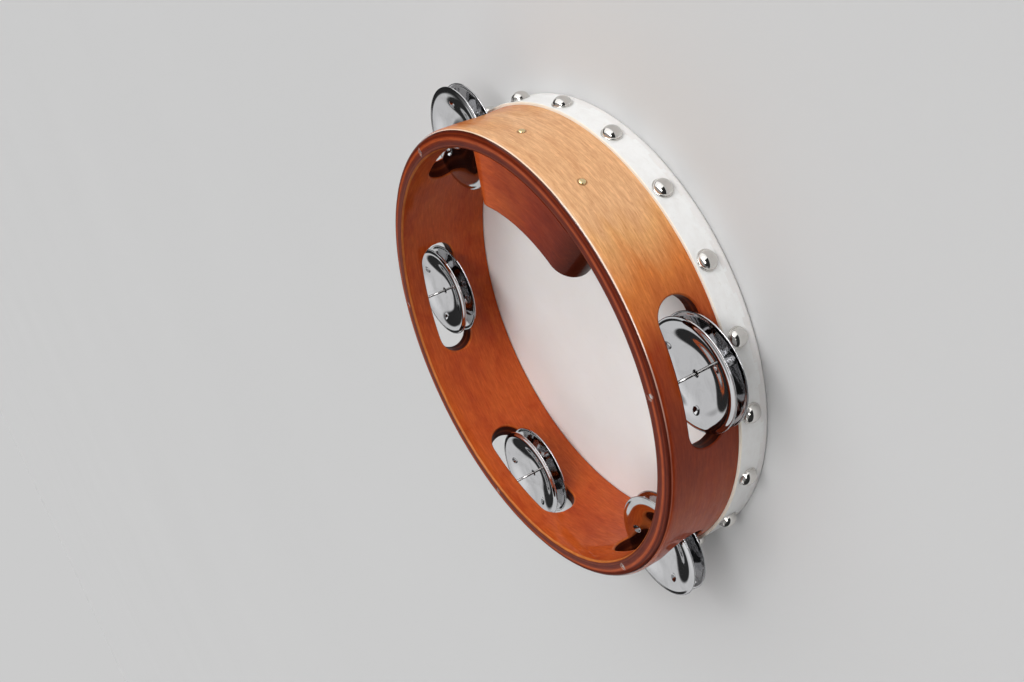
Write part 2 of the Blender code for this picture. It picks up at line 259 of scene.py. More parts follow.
def arc(centre, radius, start_degrees, end_degrees, steps):
    """Points of an arc in the (radius, height) plane."""
    angles = [radians(degrees) for degrees in spread(start_degrees, end_degrees, steps)]
    return [(centre[0] + radius * cos(a), centre[1] + radius * sin(a)) for a in angles]


def blend_points(a, b, share):
    """The point a share of the way from a to b."""
    return tuple(x + (y - x) * share for x, y in zip(a, b))


def new_mesh(name, bm):
    """A mesh from a bmesh, which is used up."""
    mesh = bpy.data.meshes.new(name)
    bm.to_mesh(mesh)
    bm.free()
    return mesh


def new_object(name, data):
    """An object in the scene."""
    obj = bpy.data.objects.new(name, data)
    bpy.context.scene.collection.objects.link(obj)
    return obj


def smooth_mesh(name, bm, material):
    """A smooth-shaded mesh that keeps its sharp edges."""
    mesh = new_mesh(name, bm)
    mesh.materials.append(material)
    mesh.shade_smooth()
    mesh.set_sharp_from_angle(angle=SHARP_ANGLE)
    return mesh


def make_object(name, bm, material):
    return new_object(name, smooth_mesh(name, bm, material))


def join_rings(bm, rings, segments):
    """Join each ring of vertices to the next, in a loop; a ring on the axis is one vertex."""
    for ring, after in zip(rings, rings[1:] + rings[:1]):
        for i in range(segments):
            j = (i + 1) % segments
            corners = (ring[i % len(ring)], after[i % len(after)], after[j % len(after)], ring[j % len(ring)])
            distinct = list(dict.fromkeys(corners))
            if len(distinct) > 2:
                bm.faces.new(distinct)


def turned_bmesh(profile, segments, shape=None):
    """Turn a closed loop of (radius, height) points about Z; a point on the axis becomes one vertex.

    shape, if given, moves each point: it takes and returns a radius, an angle and a height.
    """
    bm = bmesh.new()
    rings = []
    for radius, height in profile:
        count = segments if radius > 0.0 else 1
        ring = []
        for i in range(count):
            place = (radius, tau * i / segments, height)
            ring.append(bm.verts.new(polar(*(shape(*place) if shape else place))))
        rings.append(ring)
    join_rings(bm, rings, segments)
    bmesh.ops.recalc_face_normals(bm, faces=bm.faces)
    return bm


def add_local_attribute(mesh):
    """Keep each vertex's place in the piece's own frame, for patterns that go with the piece."""
    attribute = mesh.attributes.new("local", "FLOAT_VECTOR", "POINT")
    for vertex in mesh.vertices:
        attribute.data[vertex.index].vector = vertex.co


def add_grain_attribute(mesh, radius):
    """Keep each corner's (distance round the hoop, height, radius), unbroken across the seam."""
    attribute = mesh.attributes.new("grain", "FLOAT_VECTOR", "CORNER")
    for face in mesh.polygons:
        middle = atan2(face.center.y, face.center.x)
        for corner in face.loop_indices:
            point = mesh.vertices[mesh.loops[corner].vertex_index].co
            angle = atan2(point.y, point.x)
            angle += tau * round((middle - angle) / tau)
            attribute.data[corner].vector = (angle * radius, point.z, hypot(point.x, point.y))


class Patches:
    """Rows of points joined by quads, welded into one closed mesh at the end."""

    def __init__(self):
        self.bm = bmesh.new()
        self.cut = self.bm.faces.layers.float.new("cut")

    def join(self, rows, closed=False, cut=0.0):
        """Join each row to the next, point by point, by quads."""
        for first, second in zip(rows, rows[1:]):
            count = len(first)
            for i in range(count if closed else count - 1):
                j = (i + 1) % count
                corners = [self.bm.verts.new(p) for p in (first[i], first[j], second[j], second[i])]
                self.bm.faces.new(corners)[self.cut] = cut

    def weld(self):
        """Merge the rows' shared points and turn every face outward."""
        bmesh.ops.remove_doubles(self.bm, verts=self.bm.verts, dist=0.002 * MM)
        degenerate = [f for f in self.bm.faces if f.calc_area() < 1e-14]
        bmesh.ops.delete(self.bm, geom=degenerate, context="FACES")
        bmesh.ops.recalc_face_normals(self.bm, faces=self.bm.faces)
        return self.bm


# ---- what the frame says


def node_middle(name):
    """The middle of a CAD node's box."""
    low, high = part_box(name)
    return (low + high) / 2


def node_radius(name):
    """Half a CAD node's size along X: its radius, where it is round."""
    low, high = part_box(name)
    return (high.x - low.x) / 2


def node_angle(name):
    """The angle round the drum's axis of a CAD node's middle."""
    middle = node_middle(name)
    return atan2(middle.y, middle.x)


def node_polar_span(frame, name):
    """The lowest and highest radius, the middle angle and half the angle that a CAD node spans."""
    points = [v.co for v in frame["nodes"][name].data.vertices]
    centre = node_angle(name)
    turns = [remainder(atan2(p.y, p.x) - centre, tau) for p in points]
    radii = [hypot(p.x, p.y) for p in points]
    return min(radii), max(radii), centre + (max(turns) + min(turns)) / 2, (max(turns) - min(turns)) / 2


def numbered(frame, prefix):
    """The CAD nodes whose name starts with a prefix, in order."""
    return sorted(n for n in frame["nodes"] if n.startswith(prefix))


def jingle_numbers(frame):
    """The jingles' numbers, as in the nodes' names."""
    return [int(n.split("_")[1]) for n in frame["nodes"] if n.endswith("_pin")]


# ---- shader helpers


class Graph:
    """A few words for building the nodes of a material or a world."""

    def __init__(self, owner):
        owner.use_nodes = True
        self.owner = owner
        self.tree = owner.node_tree

    def node(self, kind, **settings):
        made = self.tree.nodes.new(kind)
        for key, value in settings.items():
            setattr(made, key, value)
        return made

    def link(self, source, target):
        self.tree.links.new(source, target)

    def put(self, value, target):
        """Set a socket from another socket or a plain value."""
        if isinstance(value, bpy.types.NodeSocket):
            self.link(value, target)
        else:
            target.default_value = value

    def attribute(self, name):
        return self.node("ShaderNodeAttribute", attribute_name=name).outputs

    def fill(self, made, **values):
        """Set a node's sockets by name, where underscores stand for spaces, and give its first output."""
        for key, value in values.items():
            self.put(value, made.inputs[key.replace("_", " ")])
        return made.outputs[0]

    def noise(self, vector, scale=1.0, detail=2.0, roughness=0.5, distortion=0.0):
        """Noise; a scale with three values stretches it along the axes."""
        if not isinstance(scale, float):
            stretched = self.node("ShaderNodeVectorMath", operation="MULTIPLY")
            self.link(vector, stretched.inputs[0])
            stretched.inputs[1].default_value = scale
            vector, scale = stretched.outputs[0], 1.0
        made = self.node("ShaderNodeTexNoise")
        self.fill(made, Detail=detail, Roughness=roughness, Distortion=distortion)
        return self.fill(made, Vector=vector, Scale=scale)

    def math(self, operation, a, b=0.0, c=0.0):
        made = self.node("ShaderNodeMath", operation=operation)
        for value, target in zip((a, b, c), made.inputs):
            self.put(value, target)
        return made.outputs[0]

    def times(self, a, b):
        return self.math("MULTIPLY", a, b)

    def distance(self, a, b):
        """How far apart two points are whose places differ by a and b."""
        return self.math("SQRT", self.math("ADD", self.times(a, a), self.times(b, b)))

    def span(self, value, from_low, from_high, to_low=0.0, to_high=1.0, kind="LINEAR"):
        """Map a range of values to another, clamped."""
        made = self.node("ShaderNodeMapRange", interpolation_type=kind)
        self.fill(made, From_Min=from_low, From_Max=from_high, To_Min=to_low, To_Max=to_high)
        return self.fill(made, Value=value)

    def ramp(self, value, stops):
        """A colour that runs through the stops' (place, colour) pairs."""
        made = self.node("ShaderNodeValToRGB")
        self.link(value, made.inputs["Fac"])
        band = made.color_ramp
        while len(band.elements) < len(stops):
            band.elements.new(0.5)
        for element, (place, colour) in zip(band.elements, stops):
            element.position = place
            element.color = (*colour, 1.0)
        return made.outputs["Color"]

    def mix(self, share, a, b, blend_type="MIX"):
        """Colour a with colour b laid over it by a share."""
        made = self.node("ShaderNodeMix", data_type="RGBA", blend_type=blend_type)
        self.put(share, made.inputs["Factor"])
        for value, target in ((a, made.inputs[6]), (b, made.inputs[7])):
            self.put(value if isinstance(value, bpy.types.NodeSocket) else (*value, 1.0), target)
        return made.outputs[2]

    def split(self, vector):
        made = self.node("ShaderNodeSeparateXYZ")
        self.link(vector, made.inputs[0])
        return made.outputs

    def bump(self, height, distance, strength=1.0, **under):
        """A normal tilted by a height; Normal, if given, is the bump under it."""
        made = self.node("ShaderNodeBump")
        return self.fill(made, Height=height, Distance=distance, Strength=strength, **under)

    def set(self, **values):
        """Set the shader's own sockets."""
        self.fill(self.tree.nodes["Principled BSDF"], **values)


# ---- materials


class Wood:
    """Stained ply: where each point lies on the hoop, the grain's noises, and the colour so far."""

    def __init__(self, hoop, name):
        self.hoop = hoop
        g = self.g = Graph(bpy.data.materials.new(name))
        self.grain = g.attribute("grain")["Vector"]
        self.around, self.height, self.radius = g.split(self.grain)
        self.cut = g.attribute("cut")["Fac"]
        self.outer_face = g.span(self.radius, hoop.outer - 1.2 * MM, hoop.outer - 0.8 * MM)
        # Broad figure, fibres and short flecks, each stretched along the grain.
        self.figure = g.noise(self.grain, (24.0, 120.0, 120.0), 3.0, 0.55, 0.5)
        self.fibre = g.noise(self.grain, (220.0, 1900.0, 1900.0), 5.0, 0.68)
        self.streaks = g.span(self.fibre, 0.4, 0.62)
        flecks = g.noise(self.grain, (330.0, 1500.0, 1500.0), 2.0, 0.6)
        self.flecks = g.times(g.span(flecks, 0.6, 0.72), FLECK_TINT[1])
        self.angle = g.math("DIVIDE", self.around, hoop.outer)
        self.wander = g.span(self.figure, 0.3, 0.7, -0.07, 0.07)
        # How far round the hoop each point lies from the middle of the painted sheen.
        self.off_painted_sheen = g.math("ABSOLUTE", self.turned_from(PAINTED_SHEEN_ANGLE))

    def turned_from(self, angle):
        """The angle round the hoop from another angle, wandering with the figure."""
        return self.g.math("ADD", self.g.math("SUBTRACT", self.angle, angle), self.wander)

    def cover(self, share, colour, blend_type="MIX"):
        """Lay another colour over the wood's."""
        self.colour = self.g.mix(share, self.colour, colour, blend_type)

    def tint(self, share, tint):
        """Multiply the wood's colour by a tint, given with its strength."""
        colour, strength = tint
        self.cover(self.g.times(share, strength), colour, "MULTIPLY")

    def away_from(self, name, value, middle_value):
        """The distance from a CAD node, along the grain and by another of the point's values."""
        g = self.g
        sideways = g.math("SUBTRACT", self.around, node_angle(name) * self.hoop.outer)
        return g.distance(sideways, g.math("SUBTRACT", value, middle_value))

    def stain(self):
        """The figure's colours, with stain that lies in soft patches."""
        g = self.g
        self.colour = g.ramp(self.figure, FIGURE_COLOURS)
        patches = g.noise(self.grain, (55.0, 95.0, 95.0), 3.0, 0.6, 0.8)
        self.tint(g.span(patches, 0.5, 0.64), HEAVY_STAIN)
        self.tint(g.span(patches, 0.36, 0.48, 1.0, 0.0), THIN_STAIN)

    def paint_veneer_sheen_and_shade(self):
        """Painted sheen pales the outer veneer on the lit side of the hoop, and painted shade darkens it
        beyond.
        """
        g = self.g
        pale = g.span(self.off_painted_sheen, PAINTED_SHEEN_HALF, PAINTED_SHEEN_HALF + PAINTED_SHEEN_FADE, 1.0, 0.0)
        pale = g.times(pale, self.outer_face)
        for start, full, colour in PAINTED_SHEEN_COLOURS:
            self.cover(g.span(pale, start, full), colour)
        turned = g.math("ABSOLUTE", g.math("WRAP", self.turned_from(PAINTED_SHADE_ANGLE), pi, -pi))
        dark = g.span(turned, PAINTED_SHADE_CORE, PAINTED_SHADE_HALF, PAINTED_SHADE_SHARE, 0.0)
        self.cover(g.times(dark, self.outer_face), PAINTED_SHADE_COLOUR)

    def streak(self):
        """Dark bands, streaks and flecks, and pale fibres between them."""
        g = self.g
        self.tint(g.span(self.figure, 0.52, 0.66), BROAD_TINT)
        self.tint(self.streaks, STREAK_TINT)
        self.cover(self.flecks, FLECK_TINT[0], "MULTIPLY")
        self.tint(g.span(self.fibre, 0.3, 0.45, 1.0, 0.0), FIBRE_TINT)

    def paint_edge_highlight(self):
        """A painted highlight line along the veneer's edge on the rounded corner, strongest near the painted
        sheen.
        """
        g, hoop = self.g, self.hoop
        start, end, share, colour = PAINTED_EDGE_HIGHLIGHT
        line = hoop.outer - RIM_OUTER_ROUND * (1 - cos(radians(VENEER_END))) + EDGE_HIGHLIGHT_OFFSET
        highlight_line = g.math("ABSOLUTE", g.math("SUBTRACT", self.radius, line))
        highlight_line = g.span(highlight_line, start, end, share, 0.0)
        highlight_line = g.times(highlight_line, g.span(self.height, hoop.top - 1.6 * MM, hoop.top - 1.4 * MM))
        highlight_line = g.times(highlight_line, g.span(self.off_painted_sheen, EDGE_HIGHLIGHT_NEAR, EDGE_HIGHLIGHT_FAR, 1.0, 0.1))
        self.cover(highlight_line, colour)

    def ring_nails(self):
        """The wood is darker in a ring round each nail."""
        g = self.g
        start, end, share, colour = NAIL_RING
        for name in self.hoop.nails:
            away = self.away_from(name, self.height, node_middle(name).z)
            self.cover(g.times(g.span(away, start, end, share, 0.0), self.outer_face), colour)

    def paint_block_shadow(self):
        """Painted shadow darkens the grip block towards one end."""
        along = self.g.span(self.angle, GRIP_SHADOW_START, GRIP_SHADOW_END)
        self.cover(1.0, self.g.ramp(along, GRIP_SHADOW_FACTORS), "MULTIPLY")

    def show_plies(self):
        """The routed walls and the open rim show the plies' edges, which take the stain darkest, with a
        painted highlight at the inner edge.
        """
        g, hoop = self.g, self.hoop
        waver = g.span(g.noise(self.grain, (9.0, 60.0, 60.0)), 0.3, 0.7, -0.05, 0.05)
        depth = g.math("DIVIDE", g.math("SUBTRACT", self.radius, hoop.inner), hoop.outer - hoop.inner)
        # The ramp's first stops paint a highlight along the inner edge.
        plies = g.ramp(g.math("ADD", depth, waver), PLY_AND_INNER_HIGHLIGHT_COLOURS)
        colour, strength = PLY_STREAK_TINT
        plies = g.mix(g.times(self.streaks, strength), plies, colour, "MULTIPLY")
        self.cover(g.span(self.cut, 0.0, CUT_RIM), plies)

    def bruise_pins(self):
        """The rim is bruised pale round each pin's head."""
        g, hoop = self.g, self.hoop
        start, end, share, colour = PIN_BRUISE
        uneven = g.noise(self.grain, (700.0, 700.0, 700.0))
        uneven = g.span(uneven, 0.35, 0.65, -PIN_BRUISE_UNEVEN, PIN_BRUISE_UNEVEN)
        on_rim = g.span(self.height, hoop.top - 1.0 * MM, hoop.top - 0.5 * MM)
        for name in hoop.pins:
            middle = node_middle(name)
            away = self.away_from(name, self.radius, hypot(middle.x, middle.y))
            spot = g.span(g.math("ADD", away, uneven), start, end, share, 0.0)
            self.cover(g.times(spot, on_rim), colour)

    def darken_slots(self):
        """The slots' walls soak up the most stain."""
        wall = self.g.span(self.cut, CUT_RIM, CUT_SLOT_WALL)
        self.cover(self.g.times(wall, SLOT_WALL_SHARE), SLOT_WALL_COLOUR)

    def lacquer(self, weight):
        """Clear lacquer, thickest where it has run over the rounded outer edge, and thin inside the slots."""
        g, hoop = self.g, self.hoop
        rough = g.span(g.noise(self.grain, (90.0, 400.0, 400.0), 3.0), 0.3, 0.7, 0.4, 0.55)
        pores = g.bump(g.math("SUBTRACT", self.fibre, self.flecks), 0.03 * MM, 0.35)
        ripple = g.bump(g.noise(self.grain, (70.0, 190.0, 190.0)), 0.1 * MM, 0.2)
        g.set(Base_Color=self.colour, Roughness=rough, Normal=pores, Specular_IOR_Level=WOOD_SPECULAR)
        lip = g.span(self.height, hoop.top - 2.2 * MM, hoop.top - 1.4 * MM)
        lip = g.times(g.span(self.radius, hoop.outer - 1.1 * MM, hoop.outer - 0.8 * MM), lip)
        coat = g.math("SUBTRACT", weight, g.times(self.cut, CUT_COAT_LOSS))
        g.set(Coat_Weight=g.math("MAXIMUM", coat, lip), Coat_Roughness=COAT_ROUGHNESS)
        g.set(Coat_IOR=COAT_IOR, Coat_Normal=ripple)


def wood_material(hoop, block=False):
    """Orange-brown stained ply under clear gloss lacquer: streaks run round the hoop."""
    wood = Wood(hoop, "lacquered_block" if block else "lacquered_ply")
    wood.stain()
    # Painted sheen and painted shade on the outer veneer.
    wood.paint_veneer_sheen_and_shade()
    wood.streak()
    # A painted highlight line along the rim's outer corner.
    wood.paint_edge_highlight()
    wood.ring_nails()
    # Painted shadow on the grip block's darker end.
    if block:
        wood.paint_block_shadow()
    wood.show_plies()
    wood.bruise_pins()
    wood.darken_slots()
    wood.lacquer(BLOCK_COAT if block else HOOP_COAT)
    return wood.g.owner


def skin_material():
    """The head: a taut warm-white film with faint cloudy marks and a fine tooth."""
    g = Graph(bpy.data.materials.new("head_film"))
    place = g.node("ShaderNodeTexCoord").outputs["Object"]
    cloud = g.noise(place, 38.0, 4.0, 0.6, 0.4)
    tooth = g.bump(g.noise(place, 2600.0, 3.0, 0.6), 0.02 * MM, 0.4)
    scuff = g.noise(place, (160.0, 900.0, 300.0), 3.0, 0.6, 1.2)
    colour = g.ramp(cloud, FILM_COLOURS)
    colour = g.mix(g.times(g.span(scuff, 0.64, 0.74), 0.12), colour, SCUFF_COLOUR)
    g.set(Base_Color=colour, Roughness=g.span(cloud, 0.3, 0.7, 0.42, 0.56), Normal=tooth)
    g.set(Subsurface_Weight=0.1, Subsurface_Radius=FILM_DEPTH, Subsurface_Scale=1.0)
    return g.owner


def band_material():
    """The head's band: white coated cloth, lightly creased, with a cream edge against the wood."""
    g = Graph(bpy.data.materials.new("band_strip"))
    grain = g.attribute("grain")["Vector"]
    height = g.split(grain)[1]
    crease = g.noise(grain, (260.0, 420.0, 400.0), 5.0, 0.62, 0.5)
    speck = g.noise(grain, (900.0, 900.0, 900.0), 2.0, 0.6)
    colour = g.ramp(crease, CLOTH_COLOURS)
    colour = g.mix(g.times(g.span(speck, 0.64, 0.76), 0.2), colour, SPECK_COLOUR)
    edge = g.span(height, CREAM_START, CREAM_FULL)
    colour = g.mix(g.times(edge, 0.6), colour, CREAM_COLOUR)
    normal = g.bump(crease, 0.12 * MM, 0.4, Normal=g.bump(speck, 0.03 * MM, 0.4))
    g.set(Base_Color=colour, Roughness=g.span(crease, 0.3, 0.7, 0.36, 0.52), Normal=normal)
    return g.owner


def metal_material(name):
    """Bright metal with hairline scratches and smudges that follow the piece."""
    colour, dull, low_rough, high_rough, smudge_scale, scratch = METALS[name]
    g = Graph(bpy.data.materials.new(name))
    place = g.attribute("local")["Vector"]
    x, y = g.split(place)[:2]
    rings = g.node("ShaderNodeCombineXYZ")
    g.link(g.times(g.distance(x, y), 5200.0), rings.inputs[0])
    turned = g.noise(rings.outputs[0], 1.0, 3.0, 0.7)
    smudge = g.noise(place, smudge_scale, 4.0, 0.62, 0.8)
    hair = g.noise(place, (700.0, 9000.0, 700.0), 2.0, 0.5, 0.3)
    smudged = g.mix(g.times(g.span(smudge, 0.45, 0.8), 0.6), colour, dull)
    rough = g.span(smudge, 0.35, 0.75, low_rough, high_rough)
    rough = g.math("ADD", rough, g.span(hair, 0.66, 0.8, 0.0, 0.05))
    scratches = g.bump(g.math("ADD", turned, g.times(hair, 0.5)), 0.004 * MM, scratch)
    g.set(Base_Color=smudged, Metallic=1.0, Roughness=rough, Normal=scratches)
    return g.owner


def floor_material():
    """A plain pale floor, hardly mottled."""
    g = Graph(bpy.data.materials.new("studio_floor"))
    place = g.node("ShaderNodeTexCoord").outputs["Object"]
    colour = g.ramp(g.noise(place, 3.0, 3.0, 0.5), [(0.3, (0.62, 0.62, 0.62)), (0.7, (0.63, 0.63, 0.63))])
    g.set(Base_Color=colour, Roughness=0.9, Specular_IOR_Level=0.0)
    return g.owner


# ---- the hoop


class Hoop:
    """The hoop's measures, read from the CAD nodes."""

    def __init__(self, frame):
        low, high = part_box("hoop")
        self.outer = node_radius("hoop")
        self.base = low.z
        self.top = high.z
        self.grip_inner, grip_outer, self.grip_angle, self.grip_half = node_polar_span(frame, "grip_block")
        self.inner = round((grip_outer + GRIP_GAP) / (0.1 * MM)) * 0.1 * MM
        self.middle = (self.inner + self.outer) / 2
        self.nails = numbered(frame, "grip_nail_")
        self.pins = [f"jingle_{number}_pin" for number in jingle_numbers(frame)]


def slot_centres(hoop):
    """The slots' angles: each pin stands a little to one side of its slot's middle."""
    return sorted((node_angle(name) - PIN_SLOT_OFFSET) % tau for name in hoop.pins)


def patch_boundary(low, high):
    """Points (turn, height) round the piece of hoop that holds one slot."""
    turn = SLOT_PATCH_HALF
    corners = [(-turn, high), (turn, high), (turn, low), (-turn, low)]
    steps = (PATCH_LENGTH_STEPS, PATCH_HEIGHT_STEPS) * 2
    points = []
    for corner, following, count in zip(corners, corners[1:] + corners[:1], steps):
        points += [blend_points(corner, following, i / count) for i in range(count)]
    return points


def slot_patch(patches, hoop, centre, low, high):
    """The two faces round one slot, its rounded edges and its wall."""
    end_radius = SLOT_WIDTH / 2
    straight = SLOT_LENGTH / 2 - end_radius
    cosine, sine = cos(centre), sin(centre)
    # Each spoke runs from the slot's core line out to a point of the boundary.
    spokes = []
    for turn, height in patch_boundary(low, high):
        x = hoop.middle * sin(turn)
        core = max(-straight, min(straight, x))
        spokes.append((turn, height, core, Vector((x - core, height - SLOT_CENTRE_HEIGHT)).normalized()))

    def place(x, height, depth_share, inset):
        """A point at a distance x from the slot's middle, on the outer face (0) to the inner face (1)."""
        outer = sqrt(hoop.outer**2 - x * x) - inset
        inner = sqrt(hoop.inner**2 - x * x) + inset
        y = outer + (inner - outer) * depth_share
        return Vector((y * cosine - x * sine, y * sine + x * cosine, height))

    def reached(core, away, offset):
        """The point of a spoke that lies outside the slot's wall by an offset."""
        reach = end_radius + offset
        return core + reach * away.x, SLOT_CENTRE_HEIGHT + reach * away.y

    def face_row(radius, depth_share, share):
        row = []
        for turn, height, core, away in spokes:
            edge = (radius * sin(turn), height)
            x, z = blend_points(edge, reached(core, away, SLOT_EDGE_ROUND), share)
            row.append(place(x, z, depth_share, 0.0))
        return row

    def wall_row(offset, depth_share, inset):
        return [place(*reached(core, away, offset), depth_share, inset) for _, _, core, away in spokes]

    for radius, depth_share in ((hoop.outer, 0.0), (hoop.inner, 1.0)):
        rows = [face_row(radius, depth_share, share) for share in (0.0, 0.25, 0.5, 0.7, 0.85, 0.95, 1.0)]
        patches.join(rows, closed=True)
    for side in (0.0, 1.0):
        rows = []
        for angle in spread(0.0, pi / 2, 6):
            inset = SLOT_EDGE_ROUND * (1 - cos(angle))
            rows.append(wall_row(SLOT_EDGE_ROUND * (1 - sin(angle)), side, inset))
        patches.join(rows, closed=True, cut=CUT_SLOT_EDGE)
    rows = [wall_row(0.0, share, SLOT_EDGE_ROUND) for share in spread(0.0, 1.0, 4)]
    patches.join(rows, closed=True, cut=CUT_SLOT_WALL)


def rim_cut(hoop, height):
    """The outer veneer ends partway up the rounded edge; above it the rim is cut across the plies."""
    veneer_top = hoop.top - RIM_OUTER_ROUND * (1 - sin(radians(VENEER_END)))
    return CUT_RIM if height > veneer_top else 0.0


def rim_profile(hoop, start):
    """(radius, height) from the outer face over the rounded rim to the inner face."""
    outer = (hoop.outer - RIM_OUTER_ROUND, hoop.top - RIM_OUTER_ROUND)
    inner = (hoop.inner + RIM_INNER_ROUND, hoop.top - RIM_INNER_ROUND)
    rim = [(hoop.outer, start)] + arc(outer, RIM_OUTER_ROUND, 0, VENEER_END, 12)[:-1]
    rim += arc(outer, RIM_OUTER_ROUND, VENEER_END, 90, 12)
    return rim + arc(inner, RIM_INNER_ROUND, 90, 180, 10) + [(hoop.inner, start)]


def foot_profile(hoop, start):
    """(radius, height) from the outer face under the hoop's foot to the inner face."""
    level = hoop.base + FOOT_ROUND
    foot = [(hoop.outer, start)] + arc((hoop.outer - FOOT_ROUND, level), FOOT_ROUND, 0, -90, 3)
    return foot + arc((hoop.inner + FOOT_ROUND, level), FOOT_ROUND, -90, -180, 3) + [(hoop.inner, start)]


def build_hoop(hoop, material):
    """The ply ring with a rounded open rim and five routed slots."""
    low = SLOT_CENTRE_HEIGHT - SLOT_WIDTH / 2 - SLOT_PATCH_MARGIN
    high = SLOT_CENTRE_HEIGHT + SLOT_WIDTH / 2 + SLOT_PATCH_MARGIN
    rim = rim_profile(hoop, high)
    foot = foot_profile(hoop, low)
    heights = spread(low, high, PATCH_HEIGHT_STEPS)
    patches = Patches()
    centres = slot_centres(hoop)
    step = 2 * SLOT_PATCH_HALF / PATCH_LENGTH_STEPS
    for centre, following in zip(centres, centres[1:] + [centres[0] + tau]):
        start, end = centre + SLOT_PATCH_HALF, following - SLOT_PATCH_HALF
        inside = spread(centre - SLOT_PATCH_HALF, start, PATCH_LENGTH_STEPS)
        between = spread(start, end, round((end - start) / step))
        for angles in (inside, between):
            for first, second in zip(angles, angles[1:]):
                for (r0, z0), (r1, z1) in zip(rim, rim[1:]):
                    left = [polar(r0, first, z0), polar(r1, first, z1)]
                    right = [polar(r0, second, z0), polar(r1, second, z1)]
                    patches.join([left, right], cut=rim_cut(hoop, (z0 + z1) / 2))
            patches.join([[polar(r, angle, z) for r, z in foot] for angle in angles])
        for radius in (hoop.outer, hoop.inner):
            patches.join([[polar(radius, angle, z) for z in heights] for angle in between])
        slot_patch(patches, hoop, centre, low, high)
    obj = make_object("hoop_ply_ring", patches.weld(), material)
    cut_pin_holes(hoop, obj)
    add_grain_attribute(obj.data, hoop.outer)
    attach(obj, "drum")
    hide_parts("hoop")


def cut_pin_holes(hoop, obj):
    """A small counterbore at each pin's head in the rim's flat end."""
    bm = bmesh.new()
    for name in hoop.pins:
        radius = node_radius(name) + PIN_HOLE_MARGIN
        middle = node_middle(name)
        bmesh.ops.create_cone(
            bm, cap_ends=True, segments=32, radius1=radius, radius2=radius, depth=2 * PIN_HOLE_DEPTH,
            matrix=Matrix.Translation((middle.x, middle.y, hoop.top)),
        )
    cutter = new_object("pin_holes", new_mesh("pin_holes", bm))
    modifier = obj.modifiers.new("pin_holes", "BOOLEAN")
    modifier.object = cutter
    modifier.operation = "DIFFERENCE"
    bpy.context.view_layer.update()
    evaluated = obj.evaluated_get(bpy.context.evaluated_depsgraph_get())
    cut_mesh = bpy.data.meshes.new_from_object(evaluated)
    obj.modifiers.clear()
    obj.data = cut_mesh
    cut_mesh.set_sharp_from_angle(angle=SHARP_ANGLE)
    bpy.data.objects.remove(cutter)


def build_grip(hoop, material):
    """The grip block: a thick arc that is half round at both ends, with softened inner edges."""
    low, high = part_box("grip_block")
    middle_height = (low.z + high.z) / 2
    end_radius = (high.z - low.z) / 2
    straight = hoop.grip_half * hoop.grip_inner - end_radius
    # Each point of the outline: its place on the core line, and the way outward from it.
    outline = []
    for side in (1, -1):
        for angle in spread(0.0, pi, 22)[:-1]:
            outline.append((side * straight, side * sin(angle), side * cos(angle)))
        outline += [(core, 0.0, -side) for core in spread(side * straight, -side * straight, 44)[:-1]]

    def loop(shrink, radius):
        """The outline drawn in by a distance, at a radius about the drum's axis."""
        reach = end_radius - shrink
        points = []
        for core, along, up in outline:
            turn = (core + reach * along) / hoop.grip_inner
            points.append(polar(radius, hoop.grip_angle + turn, middle_height + reach * up))
        return points

    back = hoop.inner + GRIP_SINK
    rows = [loop(0.0, radius) for radius in spread(back, hoop.grip_inner + GRIP_SINK, 6)[:-1]]
    for angle in spread(0.0, pi / 2, 8):
        radius = hoop.grip_inner + GRIP_EDGE_ROUND * (1 - sin(angle))
        rows.append(loop(GRIP_EDGE_ROUND * (1 - cos(angle)), radius))
    rows += [loop(shrink, hoop.grip_inner) for shrink in spread(GRIP_EDGE_ROUND, end_radius, 6)[1:]]
    patches = Patches()
    patches.join(rows, closed=True)
    patches.join([loop(shrink, back) for shrink in spread(0.0, end_radius, 3)], closed=True)
    obj = make_object("grip_block_ply", patches.weld(), material)
    add_grain_attribute(obj.data, hoop.outer)
    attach(obj, "drum")
    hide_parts("grip_block")


# ---- head, band and fasteners


def build_head(material):
    """The film, drawn over the hoop's edge and down under the band."""
    low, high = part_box("head")
    radius = node_radius("head")
    film = high.z - low.z
    turn = 1.5 * MM
    lap = 3.2 * MM
    bend = (radius - turn, low.z + turn)
    profile = [(0.0, low.z), (radius * 0.5, low.z)] + arc(bend, turn, -90, 0, 8) + [(radius, lap)]
    profile += [(radius - film, lap)] + arc(bend, turn - film, 0, -90, 8)
    profile += [(radius * 0.5, high.z), (0.0, high.z)]
    obj = make_object("head_film_taut", turned_bmesh(profile, 192), material)
    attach(obj, "drum")
    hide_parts("head")


